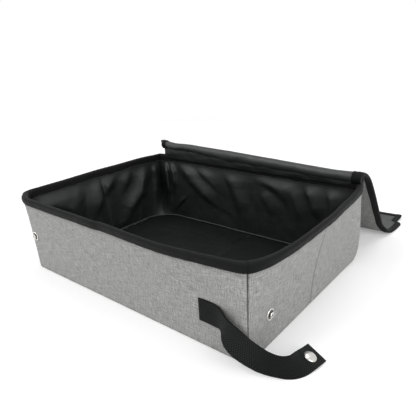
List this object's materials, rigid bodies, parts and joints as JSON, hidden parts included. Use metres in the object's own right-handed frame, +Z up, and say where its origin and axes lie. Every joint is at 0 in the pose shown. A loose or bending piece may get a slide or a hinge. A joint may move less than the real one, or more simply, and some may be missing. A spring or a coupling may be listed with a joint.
{
  "type": "foldable litter box",
  "caption": "Shallow rectangular tray of fabric over stiff boards, with a waterproof liner, end walls that crease inward to fold flat, a hinged drape-over lid and a snap strap.",
  "frame": {"origin": "centre of the box's underside, on the ground", "axes": "+X along the long side towards the strap's free end, -Y out of the front wall, +Z up"},
  "size_m": [0.4596, 0.5256, 0.1394],
  "materials": {
    "outer_fabric": "heathered plain-weave grey, matt",
    "liner": "coated black lining, soft sheen",
    "binding": "folded black tape, matt",
    "webbing": "coarse black webbing",
    "stiffener": "plain white sheet",
    "floor_foam": "closed-cell foam",
    "snap_metal": "nickel plate"
  },
  "bodies": {
    "back": {"back_binding": "binding", "back_board_left": "stiffener", "back_board_right": "stiffener", "back_cover": "outer_fabric", "back_liner": "liner", "base_cover": "outer_fabric", "floor_liner": "liner", "floor_pad_left": "floor_foam", "floor_pad_right": "floor_foam"},
    "flap": {"flap_binding_end": "binding", "flap_binding_left": "binding", "flap_binding_right": "binding", "flap_board": "stiffener", "flap_cover": "outer_fabric", "flap_liner": "liner"},
    "front": {"front_binding": "binding", "front_board_left": "stiffener", "front_board_right": "stiffener", "front_cover": "outer_fabric", "front_liner": "liner", "left_snap_stud": "snap_metal", "left_stud_eyelet": "snap_metal", "strap_patch": "webbing"},
    "left_front": {"left_front_binding": "binding", "left_front_board": "stiffener", "left_front_cover": "outer_fabric", "left_front_liner": "liner"},
    "left_rear": {"left_rear_binding": "binding", "left_rear_board": "stiffener", "left_rear_cover": "outer_fabric", "left_rear_liner": "liner"},
    "lid": {"lid_binding_left": "binding", "lid_binding_right": "binding", "lid_board": "stiffener", "lid_cover": "outer_fabric", "lid_liner": "liner", "lid_roll": "liner", "lid_roll_band_left": "binding", "lid_roll_band_right": "binding"},
    "right_front": {"right_front_binding": "binding", "right_front_board": "stiffener", "right_front_cover": "outer_fabric", "right_front_liner": "liner", "right_snap_stud": "snap_metal", "right_stud_eyelet": "snap_metal"},
    "right_rear": {"right_rear_binding": "binding", "right_rear_board": "stiffener", "right_rear_cover": "outer_fabric", "right_rear_liner": "liner"},
    "strap": {"snap_cap": "snap_metal", "snap_socket": "snap_metal", "strap_webbing": "webbing"}
  },
  "joints": [
    {"name": "side_fold", "type": "hinge", "parent": "back", "child": "right_rear", "pos_m": [0.195, 0.1377, 0], "axis": [0, 0, -1], "range_deg": [0, 88], "deforming": ["base_cover", "floor_pad_left", "floor_pad_right", "floor_liner"]},
    {"name": "right_crease", "type": "hinge", "parent": "right_rear", "child": "right_front", "pos_m": [0.20015, 0, 0], "axis": [0, 0, 1], "range_deg": [0, 176]},
    {"name": "front_corner", "type": "hinge", "parent": "right_front", "child": "front", "pos_m": [0.195, -0.1377, 0], "axis": [0, 0, -1], "range_deg": [0, 88]},
    {"name": "left_side_fold", "type": "hinge", "parent": "back", "child": "left_rear", "pos_m": [-0.195, 0.1377, 0], "axis": [0, 0, 1], "range_deg": [0, 88]},
    {"name": "left_crease", "type": "hinge", "parent": "left_rear", "child": "left_front", "pos_m": [-0.20015, 0, 0], "axis": [0, 0, -1], "range_deg": [0, 176]},
    {"name": "lid_hinge", "type": "hinge", "parent": "back", "child": "lid", "pos_m": [0, 0.1405, 0.1314], "axis": [1, 0, 0], "range_deg": [0, 224.24]},
    {"name": "lid_crease", "type": "hinge", "parent": "lid", "child": "flap", "pos_m": [0, 0.283, 0.0038], "axis": [1, 0, 0], "range_deg": [-44.3, 0]},
    {"name": "strap_swing", "type": "hinge", "parent": "front", "child": "strap", "pos_m": [0.16135, -0.1451, 0.0515], "axis": [0, 0, -1], "range_deg": [0, 100]}
  ],
  "couplings": [
    {"joint": "right_crease", "follows": "side_fold", "ratio": 2},
    {"joint": "front_corner", "follows": "side_fold", "ratio": 1},
    {"joint": "left_side_fold", "follows": "side_fold", "ratio": 1},
    {"joint": "left_crease", "follows": "side_fold", "ratio": 2},
    {"joint": "lid_crease", "follows": "lid_hinge", "ratio": -0.19729}
  ]
}
